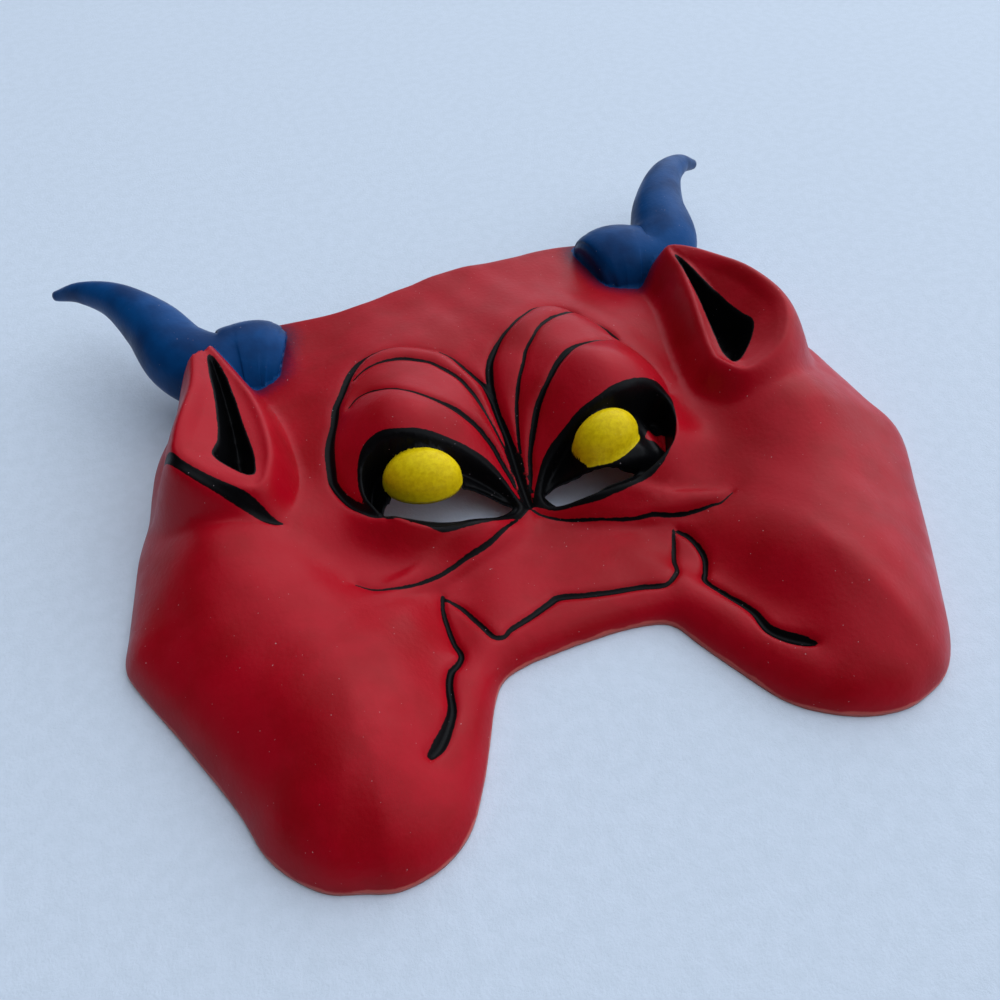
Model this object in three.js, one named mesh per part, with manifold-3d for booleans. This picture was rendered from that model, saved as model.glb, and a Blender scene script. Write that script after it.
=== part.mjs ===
// Devil half mask: one moulding of soft vinyl with ears, horns and eyeballs, lying face up.
// Millimetres. x runs across the face, y from the jowls up to the forehead, z up from the table.
// The skin is a height over the plan: a top height, and an inside height one wall below it.
import * as THREE from 'three';
import Module from 'manifold-3d';

// Driving sizes.
const wall = 2;
const rimSlope = 2;
const restingLevel = 10;
const foreheadRise = 16;
const foreheadSpan = [-14, 44];
const foreheadSpread = 64;
const earSlope = 2.4;
const earFlankSlope = 3;
const earRounding = 6;
const earCupSlope = 0.12;
const earBlend = 5;
const slotDepth = 13;
const slotSlope = 3;
const foldStep = 1;
const grooveDepth = 1.5;
const grooveHalfWidth = 1.5;
const socketFloor = [8, 17];
const socketFloorSpan = [5, 24];
const socketEndDrop = 7;
const socketEndSpan = [42, 49];
const rightHornLead = 8;

// Spacing of the points that carry the skin.
const rimSpacing = 5.6;
const rimRowInsets = [3.6, 7.9];
const lineSpacing = 5.8;
const fieldSpacing = 10.5;
const fieldGap = 5;
const rowGap = 1.15;
const lineRowOffsets = [0, -2.2, 2.2];
const lineRowGap = 1.95;
const socketRowOffsets = [-1, 1, 4];
const slotLevel = 3;
const earRowOffsets = [0, 3, 7, 11.5, 16.5, -3.2];
const earRowGap = 2.7;
const eyeRings = [0, 0.45, 0.75, 0.95, 1.04];
const eyeSides = 16;
const hornSides = 14;
const hornSteps = 20;
const planReach = 150;
const edgeClearance = 0.56;
const rowClearance = 0.85;

// The rim that lies on the table, from the middle of the arch round to the back of each horn.
const rightRim = [
  [0, -63], [10, -63], [20, -64], [27, -66], [31, -70], [36, -84], [42, -99], [50, -106.5], [60, -111],
  [70, -112.5], [78, -111], [87, -107], [95, -98], [103, -83], [112, -65], [121, -46], [129, -29],
  [131, -19], [129, -7], [127.5, 8], [126, 22], [122, 36], [116, 50], [107, 63], [95, 74],
];
const leftRim = [
  [10, -63.5], [20, -64.5], [28, -67], [33, -73], [39, -85], [44, -94.5], [51, -105], [60, -111],
  [71, -113], [80, -110.5], [88, -107.5], [95, -101], [100, -93], [104, -80], [115, -57], [124, -36],
  [125.5, -28], [123.5, -18], [121, -4], [119, 10], [116.5, 24], [113.5, 36], [109, 48], [101, 60], [91, 70],
];
// The raised edge of the forehead, from the right horn to the left one.
const foreheadEdge = [
  [85, 87], [74, 93.5], [60, 94.5], [45, 93], [25, 89], [5, 87], [-13, 83], [-34, 80], [-54, 83.5], [-70, 86],
  [-81, 80],
];

// Swellings and hollows of the face, given for the right half and mirrored to the left.
const swellings = {
  browTop: { at: [30, 46], spread: [18, 12], rise: 5 },
  browRidge: { at: [31.5, 8], spread: [16.5, 15.5], turn: 24, rise: 21.5 },
  eyeBag: { at: [33, -15], spread: [17, 9], turn: 8, edge: 1.6, rise: 11 },
  upperLip: { at: [0, -32], spread: [26, 20], rise: -4 },
  smileHollow: { at: [43, -63], spread: [26, 7], turn: -68, rise: -5 },
  jowl: { at: [74, -78], spread: [24, 24], rise: 15 },
  cheek: { at: [88, -28], spread: [20, 22], rise: 9 },
  temple: { at: [95, 40], spread: [20, 30], rise: 4 },
  earRoot: { at: [92, -8], spread: [18, 13], rise: 13 },
};

// The crest of an ear runs in a loop round its slot; the third number is the crest's height.
const earCrest = [
  [82, 61, 35.5], [90, 47, 39], [95.5, 30, 40.5], [96, 14, 39], [89, 1, 36], [79, -3, 32], [74, 9, 32],
  [73.5, 28, 34], [76.5, 46, 35.5],
];
const earSlot = [
  [82, 57], [80, 46], [79, 34], [78, 22], [77.5, 11], [78, 3], [83.5, 7.5], [88, 13], [85.5, 20], [84, 32],
  [83.5, 44],
];

// Eyes: the sunk socket, the domed eyeball in it and the slot that the wearer looks through.
const socketRim = [
  [4, -13.5], [9, -6], [16, -2], [24, -0.4], [32, 1.4], [40, 3.2], [47, 3.6], [51.5, -0.5], [51.5, -8],
  [46.5, -16], [37, -21], [28, -23.6], [19, -23.2], [10, -20], [4, -16.5],
];
const eyeSlot = [
  [7, -14.5], [11.5, -8], [16.5, -6.4], [20.5, -8.4], [24, -13.2], [30, -15.2], [36, -14.4], [41, -11.4],
  [44.5, -7.5], [45, -13], [38.5, -17.8], [30, -20.2], [21, -20.8], [12.5, -18.4],
];
const eyeball = { at: [30.8, -6.6], radii: [12.6, 9.6], base: 18.5, rise: 11 };

// Sunk lines of the face. A fold line also rounds the skin down towards it on both sides.
const browOutline = [
  [0, -14], [0, 5], [0.5, 20], [4, 33], [10, 40], [18.5, 46], [30, 48.5], [38, 44], [44, 36.5], [49, 24],
  [54, 11.5], [56, 3], [53, -7], [47, -15.8],
];
const faceLines = {
  browOutline: { points: browOutline, fold: 1.6 },
  upperFold: { points: [[5.5, 12], [8, 21], [13, 31], [20, 37.5], [29, 41.5], [40, 40]], fold: 1.2 },
  lowerFold: {
    points: [[7, 3], [10, 9], [15, 15.5], [23, 20.5], [33, 25], [42, 26], [49, 22.5]], fold: 1.4,
  },
  underEye: {
    points: [[2, -17], [10, -25], [19, -29.5], [29, -32.5], [38, -35], [47, -37], [54, -37], [58, -34.5]],
    fold: 1.2,
  },
  smile: {
    points: [
      [37, -39.7], [38.7, -46], [39.5, -54], [37.5, -60], [39.5, -64.5], [43, -71], [45, -80], [48.5, -85],
      [54, -90],
    ],
    fold: 1.4,
  },
  mouth: {
    points: [[37, -39.7], [33.5, -44.5], [30.5, -51.5], [28.5, -56.5], [25, -58], [17, -55], [9, -52], [0, -50.5]],
    fold: 0.8,
  },
};
const foldReach = 3.5;

// Centre line of the left-hand horn, mirrored: x, y, z and radius, from the forehead to the tip.
const hornLine = [
  [52, 70, 11, 10.3], [62, 70, 15, 14.2], [73, 69, 17, 15.5], [83, 68, 19, 14.6], [92.5, 76, 21.5, 12.6],
  [98, 91, 25, 9.9], [108, 107, 28, 6.4], [121, 120, 25.5, 3.6], [131, 129, 20.5, 1.6],
];
const hornRootPull = 6;
const hollowDepth = 20;
const hornTipSolid = 0.86;
const thinnestHollow = 0.8;

const skinRed = new THREE.MeshStandardMaterial({ color: 0xa3152a, roughness: 0.42, metalness: 0 });

// Smooth rise from 0 to 1 between two values.
const ease = (from, to, value) => THREE.MathUtils.smoothstep(value, from, to);

// Points along a smooth curve through the given ones, about a spacing apart.
function smoothLine(points, spacing, closed = false) {
  const knots = points.map(([x, y, z = 0]) => new THREE.Vector3(x, y, z));
  const path = new THREE.CatmullRomCurve3(knots, closed, 'catmullrom', 0.5);
  const count = Math.max(2, Math.round(path.getLength() / spacing));
  const line = path.getSpacedPoints(count);
  if (closed) line.pop();
  return line;
}

// Distance from x, y to a line of points, with the line's height at the nearest place.
function nearestOn(line, x, y, closed = false) {
  let distance = Infinity;
  let height = 0;
  const last = closed ? line.length : line.length - 1;
  for (let i = 0; i < last; i++) {
    const a = line[i];
    const b = line[(i + 1) % line.length];
    const dx = b.x - a.x;
    const dy = b.y - a.y;
    const along = THREE.MathUtils.clamp(((x - a.x) * dx + (y - a.y) * dy) / (dx * dx + dy * dy), 0, 1);
    const gap = Math.hypot(x - a.x - along * dx, y - a.y - along * dy);
    if (gap < distance) {
      distance = gap;
      height = a.z + along * (b.z - a.z);
    }
  }
  return { distance, height };
}

function isInside(loop, x, y) {
  let inside = false;
  for (let i = 0, j = loop.length - 1; i < loop.length; j = i++) {
    const a = loop[i];
    const b = loop[j];
    if (a.y > y !== b.y > y && x < ((b.x - a.x) * (y - a.y)) / (b.y - a.y) + a.x) inside = !inside;
  }
  return inside;
}

// Distance to a closed loop, positive inside it.
function depthInside(loop, x, y) {
  const { distance } = nearestOn(loop, x, y, true);
  return isInside(loop, x, y) ? distance : -distance;
}

// A bell-shaped swelling with a value of 1 at its middle.
function bell(x, y, { at, spread, turn = 0, edge = 1 }) {
  const angle = THREE.MathUtils.degToRad(turn);
  const along = ((x - at[0]) * Math.cos(angle) + (y - at[1]) * Math.sin(angle)) / spread[0];
  const across = ((y - at[1]) * Math.cos(angle) - (x - at[0]) * Math.sin(angle)) / spread[1];
  return Math.exp(-0.5 * (along * along + across * across) ** edge);
}

// The larger of two heights, with a rounded meeting.
function blendHigher(a, b, width) {
  const share = THREE.MathUtils.clamp(0.5 + (a - b) / (2 * width), 0, 1);
  return b + (a - b) * share + width * share * (1 - share);
}

const mirrored = (points) => points.map(([x, ...rest]) => [-x, ...rest]);
const leftRimOutward = mirrored(leftRim);
const lowRim = smoothLine([...[...leftRimOutward].reverse(), ...rightRim], rimSpacing);
const outline = smoothLine(
  [...rightRim, ...foreheadEdge, ...[...leftRimOutward].reverse()], rimSpacing, true,
);
// Above the raised forehead edge the face keeps its height, so that edge isn't a turned-down rim.
const faceReach = [
  ...lowRim, new THREE.Vector3(planReach, 2 * planReach, 0), new THREE.Vector3(-planReach, 2 * planReach, 0),
];
const earLoop = smoothLine(earCrest, 5, true);
const slotLoop = smoothLine(earSlot, 3, true);
const socketLoop = smoothLine(socketRim, 3.6, true);
const eyeSlotLoop = smoothLine(eyeSlot, 3.6, true);
const lines = Object.values(faceLines).map(({ points, fold }) => ({ line: smoothLine(points, lineSpacing), fold }));

// Height of the face before its lines, sockets and ear slots are sunk into it.
function faceForm(x, y) {
  const side = Math.hypot(x, 1);
  let body = restingLevel;
  body += foreheadRise * ease(...foreheadSpan, y) * Math.exp(-0.5 * (side / foreheadSpread) ** 2);
  for (const swelling of Object.values(swellings)) body += swelling.rise * bell(side, y, swelling);
  const fromRim = isInside(faceReach, x, y) ? nearestOn(lowRim, x, y).distance : 0;
  const face = wall + (body - wall) * (1 - Math.exp((-rimSlope * fromRim) / (body - wall)));
  const crest = nearestOn(earLoop, side, y, true);
  const rounding = earSlope * earRounding;
  const fall = isInside(earLoop, side, y)
    ? earCupSlope * crest.distance
    : earSlope * (Math.hypot(crest.distance, rounding) - rounding);
  const flank = earFlankSlope * fromRim - earBlend;
  return blendHigher(face, Math.min(crest.height - fall, flank), earBlend);
}

// Top height of the skin.
function skinTop(x, y) {
  const side = Math.abs(x);
  let height = faceForm(x, y);
  const cuts = lines.map(({ line, fold }) => {
    const { distance } = nearestOn(line, side, y);
    return grooveDepth * Math.exp(-((distance / grooveHalfWidth) ** 2)) + fold * Math.exp(-distance / foldReach);
  });
  height -= Math.max(...cuts);
  height += foldStep * ease(-2, 4, depthInside(lines[0].line, side, y)) * ease(-6, 14, y);
  height -= THREE.MathUtils.clamp(slotSlope * depthInside(slotLoop, side, y), 0, slotDepth);
  const sunk = ease(-0.9, 0.9, depthInside(socketLoop, side, y));
  let floor = THREE.MathUtils.lerp(...socketFloor, ease(...socketFloorSpan, side));
  floor -= socketEndDrop * ease(...socketEndSpan, side);
  const acrossEye = (side - eyeball.at[0]) / eyeball.radii[0];
  const alongEye = (y - eyeball.at[1]) / eyeball.radii[1];
  const dome = 1 - acrossEye ** 2 - alongEye ** 2;
  const inSocket = dome > 0 ? Math.max(floor, eyeball.base + eyeball.rise * Math.sqrt(dome)) : floor;
  return THREE.MathUtils.lerp(height, inSocket, sunk);
}

// Inside height: the top lowered by a ball of the wall's thickness rolled under it, up to a slot's edge.
function skinUnder(x, y, top) {
  let height = top - wall;
  for (const reach of [0.6, 1]) {
    const drop = wall * Math.sqrt(1 - reach * reach);
    for (let k = 0; k < 8; k++) {
      const angle = (k + reach) * (Math.PI / 4);
      const nearX = x + wall * reach * Math.cos(angle);
      const nearY = y + wall * reach * Math.sin(angle);
      if (isInside(eyeSlotLoop, Math.abs(nearX), nearY)) continue;
      height = Math.min(height, skinTop(nearX, nearY) - drop);
    }
  }
  return Math.max(0, height);
}

// Points beside a line at the given offsets, so that a groove or a step has its own edges.
// A point that comes nearer to another stretch of the line than its own offset is left out.
function rowsAlong(line, offsets, closed) {
  const rows = [];
  for (const offset of offsets) {
    line.forEach((point, i) => {
      const before = line[closed ? (i + line.length - 1) % line.length : Math.max(0, i - 1)];
      const after = line[closed ? (i + 1) % line.length : Math.min(line.length - 1, i + 1)];
      const length = Math.hypot(after.x - before.x, after.y - before.y);
      const x = point.x - ((after.y - before.y) / length) * offset;
      const y = point.y + ((after.x - before.x) / length) * offset;
      if (nearestOn(line, x, y, closed).distance >= rowClearance * Math.abs(offset)) rows.push([x, y]);
    });
  }
  return rows;
}

// The deepest place of the V-shaped ear slot at each level along it.
function slotBottom() {
  const ys = earSlot.map(([, y]) => y);
  const xs = earSlot.map(([x]) => x);
  const bottom = [];
  for (let y = Math.min(...ys) + 3; y < Math.max(...ys); y += slotLevel) {
    const depths = [];
    for (let x = Math.min(...xs); x < Math.max(...xs); x += 0.5) depths.push([depthInside(slotLoop, x, y), x]);
    bottom.push([depths.reduce((deepest, next) => (next[0] > deepest[0] ? next : deepest))[1], y]);
  }
  return bottom;
}

// All plan points: the edges first, then the rows beside every feature, then an even field.
function planPoints(edges) {
  const points = edges.flat().map(({ x, y }) => [x, y]);
  const guards = edges.flatMap((loop) => loop.map((a, i) => [a, loop[(i + 1) % loop.length]]));
  const add = (x, y, gap) => {
    for (const [a, b] of guards) {
      if (Math.hypot(x - (a.x + b.x) / 2, y - (a.y + b.y) / 2) < edgeClearance * a.distanceTo(b)) return;
    }
    if (points.every(([px, py]) => Math.hypot(x - px, y - py) >= gap)) points.push([x, y]);
  };
  const both = (rows, gap) => {
    for (const [x, y] of rows) {
      add(x, y, gap);
      add(-x, y, gap);
    }
  };
  both(rowsAlong(socketLoop, socketRowOffsets, true), rowGap);
  both(slotBottom(), rowGap);
  both(rowsAlong(slotLoop, [0], true), rowGap);
  for (const { line } of lines) both(rowsAlong(line, lineRowOffsets, false), lineRowGap);
  for (const share of eyeRings) {
    for (let k = 0; k < eyeSides; k++) {
      const angle = (2 * Math.PI * k) / eyeSides;
      const x = eyeball.at[0] + share * eyeball.radii[0] * Math.cos(angle);
      const y = eyeball.at[1] + share * eyeball.radii[1] * Math.sin(angle);
      if (depthInside(socketLoop, x, y) > rowGap) both([[x, y]], rowGap);
    }
  }
  const earRows = rowsAlong(earLoop, earRowOffsets, true);
  both(earRows.filter(([x, y]) => depthInside(slotLoop, x, y) < -rowGap), earRowGap);
  for (const [x, y] of rowsAlong(outline, rimRowInsets, true)) add(x, y, earRowGap);
  const rowHeight = fieldSpacing * Math.sin(Math.PI / 3);
  const rows = Math.ceil(planReach / rowHeight);
  const columns = Math.ceil(planReach / fieldSpacing);
  for (let row = -rows; row <= rows; row++) {
    for (let column = -columns; column <= columns; column++) {
      add((column + (row % 2) / 2) * fieldSpacing, row * rowHeight, fieldGap);
    }
  }
  return points.filter(([x, y], i) => i < edges.flat().length || isInside(outline, x, y));
}

// Delaunay triangles of plan points, added one by one.
function triangulate(points) {
  const far = 4000;
  const all = [...points, [-far, -far], [far, -far], [0, far]];
  const circle = (a, b, c) => {
    const [ax, ay] = all[a];
    const bx = all[b][0] - ax;
    const by = all[b][1] - ay;
    const cx = all[c][0] - ax;
    const cy = all[c][1] - ay;
    const area = 2 * (bx * cy - by * cx);
    const ux = (cy * (bx * bx + by * by) - by * (cx * cx + cy * cy)) / area;
    const uy = (bx * (cx * cx + cy * cy) - cx * (bx * bx + by * by)) / area;
    return { corners: [a, b, c], x: ax + ux, y: ay + uy, reach: ux * ux + uy * uy };
  };
  let triangles = [circle(points.length, points.length + 1, points.length + 2)];
  points.forEach(([x, y], index) => {
    const border = new Map();
    const kept = [];
    for (const triangle of triangles) {
      if ((x - triangle.x) ** 2 + (y - triangle.y) ** 2 >= triangle.reach) {
        kept.push(triangle);
        continue;
      }
      const [a, b, c] = triangle.corners;
      for (const [from, to] of [[a, b], [b, c], [c, a]]) {
        if (border.has(`${to},${from}`)) border.delete(`${to},${from}`);
        else border.set(`${from},${to}`, [from, to]);
      }
    }
    for (const [from, to] of border.values()) kept.push(circle(from, to, index));
    triangles = kept;
  });
  return triangles.map(({ corners }) => corners).filter((corners) => Math.max(...corners) < points.length);
}

// A closed body between two heights over the plan triangles, with walls along every edge.
function closedBetween(points, triangles, tops, bottoms) {
  const vertices = [];
  points.forEach(([x, y], i) => vertices.push(x, y, tops[i]));
  points.forEach(([x, y], i) => vertices.push(x, y, bottoms[i]));
  const faces = [];
  const border = new Map();
  const lowered = points.length;
  for (const [a, b, c] of triangles) {
    faces.push(a, b, c, lowered + a, lowered + c, lowered + b);
    for (const [from, to] of [[a, b], [b, c], [c, a]]) {
      if (border.has(`${to},${from}`)) border.delete(`${to},${from}`);
      else border.set(`${from},${to}`, [from, to]);
    }
  }
  for (const [from, to] of border.values()) {
    faces.push(from, lowered + from, to, to, lowered + from, lowered + to);
  }
  return { vertices, faces };
}

// The skin, and the face hollow under it down to below the rim.
function buildSkin() {
  const slots = [eyeSlotLoop, eyeSlotLoop.map(({ x, y }) => new THREE.Vector3(-x, y, 0)).reverse()];
  const points = planPoints([outline, ...slots]);
  const triangles = triangulate(points).filter((corners) => {
    const x = corners.reduce((sum, i) => sum + points[i][0], 0) / 3;
    const y = corners.reduce((sum, i) => sum + points[i][1], 0) / 3;
    return isInside(outline, x, y) && !isInside(eyeSlotLoop, Math.abs(x), y);
  });
  const tops = points.map(([x, y]) => skinTop(x, y));
  const unders = points.map(([x, y], i) => skinUnder(x, y, tops[i]));
  const hollowFloor = points.map(() => -hollowDepth);
  return {
    skin: closedBetween(points, triangles, tops, unders),
    faceHollow: closedBetween(points, triangles, unders, hollowFloor),
  };
}

// A horn's round skin or its hollow: rings along the centre line, closed at both ends.
function buildHorn(side, lead, thinner, rootPull, length) {
  const sideLine = hornLine.map(([x, y, z]) => new THREE.Vector3(side * x, y + lead, z));
  const path = new THREE.CatmullRomCurve3(sideLine, false, 'catmullrom', 0.5);
  const radii = new THREE.CatmullRomCurve3(
    hornLine.map(([, , , radius]) => new THREE.Vector3(radius, 0, 0)), false, 'catmullrom', 0.5,
  );
  const vertices = [];
  const faces = [];
  for (let step = 0; step <= hornSteps; step++) {
    const share = (length * step) / hornSteps;
    const centre = path.getPoint(share);
    const tangent = path.getTangent(share);
    if (step === 0) centre.addScaledVector(tangent, -rootPull);
    const across = new THREE.Vector3(0, 0, 1).cross(tangent).normalize();
    const up = tangent.clone().cross(across);
    const radius = Math.max(thinnestHollow, radii.getPoint(share).x - thinner);
    for (let k = 0; k < hornSides; k++) {
      const angle = (2 * Math.PI * k) / hornSides;
      const spoke = across.clone().multiplyScalar(Math.cos(angle)).addScaledVector(up, Math.sin(angle));
      vertices.push(...centre.clone().addScaledVector(spoke, radius).toArray());
    }
  }
  for (let step = 0; step < hornSteps; step++) {
    for (let k = 0; k < hornSides; k++) {
      const a = step * hornSides + k;
      const b = step * hornSides + ((k + 1) % hornSides);
      faces.push(a, b, b + hornSides, a, b + hornSides, a + hornSides);
    }
  }
  const end = hornSteps * hornSides;
  for (let k = 1; k < hornSides - 1; k++) faces.push(0, k + 1, k, end, end + k, end + k + 1);
  return { vertices, faces };
}

const wasm = await Module();
wasm.setup();

function toSolid({ vertices, faces }) {
  return new wasm.Manifold(new wasm.Mesh({
    numProp: 3, vertProperties: new Float32Array(vertices), triVerts: new Uint32Array(faces),
  }));
}

function toGeometry(solid) {
  const mesh = solid.getMesh();
  const geometry = new THREE.BufferGeometry();
  geometry.setAttribute('position', new THREE.BufferAttribute(mesh.vertProperties, 3));
  geometry.setIndex(new THREE.BufferAttribute(mesh.triVerts, 1));
  geometry.computeVertexNormals();
  return geometry;
}

const { skin, faceHollow } = buildSkin();
const hollowSolid = toSolid(faceHollow);
let moulding = toSolid(skin);
const horns = [[1, rightHornLead], [-1, 0]];
for (const [side, lead] of horns) {
  moulding = moulding.add(toSolid(buildHorn(side, lead, 0, 0, 1)).subtract(hollowSolid));
}
for (const [side, lead] of horns) {
  moulding = moulding.subtract(toSolid(buildHorn(side, lead, wall, hornRootPull, hornTipSolid)));
}

const geometry = toGeometry(moulding);
geometry.computeBoundingBox();
const middle = geometry.boundingBox.getCenter(new THREE.Vector3());

const maskShell = new THREE.Mesh(geometry, skinRed);
maskShell.name = 'mask_shell';
maskShell.position.set(-middle.x, -middle.y, -geometry.boundingBox.min.z);

const halfMask = new THREE.Group();
halfMask.add(maskShell);
export default halfMask;
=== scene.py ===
# Devil half mask of soft painted vinyl, lying face up on pale felt.
# The moulding is worked out here at full detail: a height over the plan, two horns and the paint.
# Plan lengths are millimetres, x across the face and y from the jowls up to the forehead.
import math
import bpy
import numpy as np
from mathutils import Matrix, Vector
from mathutils.bvhtree import BVHTree
from mathutils.geometry import delaunay_2d_cdt


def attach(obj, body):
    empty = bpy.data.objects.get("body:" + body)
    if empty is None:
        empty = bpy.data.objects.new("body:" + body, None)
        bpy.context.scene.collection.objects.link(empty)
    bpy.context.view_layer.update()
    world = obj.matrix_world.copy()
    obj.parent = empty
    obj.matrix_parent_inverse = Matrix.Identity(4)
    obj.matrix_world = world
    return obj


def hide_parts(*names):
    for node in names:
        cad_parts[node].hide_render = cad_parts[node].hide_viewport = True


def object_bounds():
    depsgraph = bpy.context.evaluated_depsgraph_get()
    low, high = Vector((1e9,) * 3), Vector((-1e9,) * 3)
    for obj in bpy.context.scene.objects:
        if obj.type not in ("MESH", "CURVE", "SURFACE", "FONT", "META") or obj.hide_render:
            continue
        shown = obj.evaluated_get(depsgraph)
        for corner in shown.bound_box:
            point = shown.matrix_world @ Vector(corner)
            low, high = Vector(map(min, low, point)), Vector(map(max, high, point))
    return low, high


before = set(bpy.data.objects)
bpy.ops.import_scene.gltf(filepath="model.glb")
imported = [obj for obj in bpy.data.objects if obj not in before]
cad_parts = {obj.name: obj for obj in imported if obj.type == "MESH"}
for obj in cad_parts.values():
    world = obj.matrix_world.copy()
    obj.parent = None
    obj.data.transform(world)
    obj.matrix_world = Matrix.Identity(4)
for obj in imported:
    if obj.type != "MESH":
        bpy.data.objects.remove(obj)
cadLow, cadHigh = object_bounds()

rightRim = [
    (0, -63), (10, -63), (20, -64.5), (24.5, -67.5), (27.5, -74), (33.3, -85.5), (41, -99),
    (50, -106.5), (60, -111),
    (70, -112.5), (78, -111), (87, -107), (95, -98), (103, -83), (112, -65), (121, -46), (129, -29),
    (131, -19), (129, -7), (127.5, 8), (126, 22), (122, 36), (116, 50), (107, 63), (95, 74),
]
leftRim = [
    (-10, -63.5), (-20, -64.5), (-28, -67), (-33, -73), (-39, -85), (-44, -94.5), (-51, -105), (-60, -111),
    (-71, -113), (-80, -110.5), (-88, -107.5), (-95, -101), (-100, -93), (-104, -80), (-113.8, -57),
    (-123.4, -36), (-125.5, -28), (-123.5, -18), (-120.6, -4), (-117.6, 10), (-113.2, 23), (-110.6, 36),
    (-107.5, 48), (-101, 60), (-91, 70),
]
foreheadEdge = [
    (85, 87), (74, 93.5), (60, 94.5), (45, 93), (25, 89), (5, 87), (-13, 83), (-34, 80), (-54, 83.5),
    (-70, 86), (-81, 80),
]

# Sizes of the moulding; wall, rim and resting level are the solid's.
mould = {
    "wall": 2.0,
    "rimSlope": 2.0,
    "restingLevel": 10.0,
    "foreheadRise": 16.0,
    "foreheadSpan": (-14, 44),
    "foreheadSpread": 64.0,
    "earOuterSpan": (78, 90),
    "earFlankSlope": 3.0,
    "earCupReach": 4.5,
    "earBlend": 5.0,
    "earSlotDepth": 13.0,
    "earSlotSlope": 3.0,
    "grooveWidth": 0.75,
    "grooveSpread": 0.55,
    "shallowest": 0.3,
    "fullDepthSpan": (0.2, 1),
    "foldStep": 1.0,
    "foldStepSpan": (-2, 4),
    "foldFade": (-6, 14),
    "foldReach": 3.5,
    "foldEnd": 16,
    "socketFloor": (8, 17),
    "socketFloorSpan": (5, 24),
    "socketEndDrop": 7.0,
    "socketEndSpan": (42, 49),
    "lidDrop": 3.0,
    "lidDropSpan": (-14, -20),
    "eyeLedge": 3.6,
    "eyeLedgeSpan": (-19.5, -16.8),
    "eyeLedgeStart": (11, 20),
    "eyeLedgeEnd": (42, 35),
    "socketEdge": 0.9,
    "cutEdgeRounding": 0.45,
    "unevenness": 0.16,
    "evenRim": (1, 12),
    "fineSpacing": 0.66,
    "plainSpacing": 1.35,
    "insideSpacing": 2.6,
}

# Swellings and hollows: x, y, spread along and across, turn in degrees, rise, and edge sharpness.
swellings = [
    (30, 46, 18, 12, 0, 5, 1),
    (31.5, 8, 16.5, 15.5, 24, 21.5, 1),
    (33, -15, 17, 9, 8, 11, 1.6),
    (0, -32, 26, 20, 0, -4, 1),
    (43, -63, 26, 7, -68, -5, 1),
    (74, -78, 24, 24, 0, 15, 1),
    (88, -28, 20, 22, 0, 9, 1),
    (95, 40, 20, 30, 0, 4, 1),
    (92, -8, 18, 13, 0, 13, 1),
    (30, -29, 19, 3.6, -16, 3.2, 2),
]
# The same, with a side of its own.
sideSwellings = [
    (-77, -17, 15, 9, -20, -3.5, 1),
    (-103, -40, 16, 10, 70, 1.5, 1),
    (50, -74, 13, 6, -65, -2.5, 1),
    (73, -81, 22, 3.4, -72, 1.4, 1),
]
# Crest of each ear with its height, the fall beside it and inside it, and how rounded its sides are.
ears = [
    {"crest": [(-84.4, 64.5, 37.3), (-86.2, 57, 38.7), (-86.9, 50, 39.3), (-88.6, 40, 40),
               (-92, 30, 40.3), (-96.3, 19, 39.8),
               (-97.5, 11, 38.4), (-90.5, 2.6, 36), (-79, -1.8, 32), (-73.5, 8, 32.5), (-72.3, 20, 33.5),
               (-73.5, 33, 34.5), (-77.8, 48, 35.5)],
     "slope": 2.9, "inner": 0.8, "outer": 1.2, "cup": 0.3},
    {"crest": [(82, 61, 35.5), (91.3, 47, 39), (97.8, 30.5, 40.5), (99.8, 15, 39), (91.5, 1.3, 36),
               (78, -4, 32),
               (71.2, 3, 31.5), (70.8, 9, 32), (73.5, 21.7, 33.5), (76.8, 35, 34.8), (79.8, 48, 35.5)],
     "slope": 2.6, "inner": 1.0, "outer": 2.4, "cup": 0.5},
]
earSlots = [
    [(-82, 55.5), (-83, 47), (-83.3, 38), (-84, 29), (-85.5, 19), (-88, 13), (-84.5, 7.5), (-79, 3),
     (-77.5, 11), (-78, 22), (-78.4, 34), (-79.5, 47)],
    [(81.5, 56), (83.6, 47), (85.8, 37), (87.8, 28), (89.2, 22), (90.2, 16.5), (85.2, 9.3),
     (76, 1.5), (74.6, 7),
     (75.6, 14), (77.2, 24), (78.6, 34), (80.2, 47)],
]
sockets = [
    [(-4.5, -13.5), (-8.5, -6.5), (-15, -2.2), (-23, -0.2), (-31, 1.4), (-38, 3.2), (-43.5, 4), (-47, 1.5),
     (-48.4, -3), (-48.4, -9), (-45, -15.5), (-38, -20.5), (-29, -23), (-20, -22.5), (-11, -19.5),
     (-5, -16.5)],
    [(4, -13.5), (8, -7.6), (14.5, -3.8), (22, -1.8), (30, -0.6), (38, 1), (45.5, 3.4), (50.5, 3.2),
     (52, -1), (50, -8), (46, -15.5), (40, -20), (31, -23), (22, -23.4), (13, -21.5), (5.5, -17.8)],
]
eyeSlots = [
    [(-5.8, -13.8), (-11.6, -17.9), (-17.8, -20.4), (-23.5, -21.2), (-28.4, -20.3), (-33.5, -18.2),
     (-38.6, -15.2), (-43, -12), (-45.2, -8.2), (-43, -5), (-38, -9), (-31, -11), (-24, -10.5), (-19.5, -7),
     (-16.2, -6.6), (-12.1, -7.8), (-8.5, -10.6)],
    [(5.1, -12.6), (7.8, -11), (10.5, -10.6), (13.2, -12), (16, -14), (20.5, -16.1), (26.6, -17.2),
     (32.2, -18.2), (34.4, -18.5), (31.5, -19.4), (27, -20), (23, -20.4), (18, -20.7), (14, -20.4),
     (11, -19.5), (8, -17.6), (5.6, -15)],
]
# Middle, radii, turn in degrees, base height and rise of each eyeball.
eyeballs = [(-31.4, -4.5, 12, 8.6, -16, 20, 10.7), (26.9, -8.1, 11.5, 7.8, 13, 19.8, 11.6)]

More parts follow.
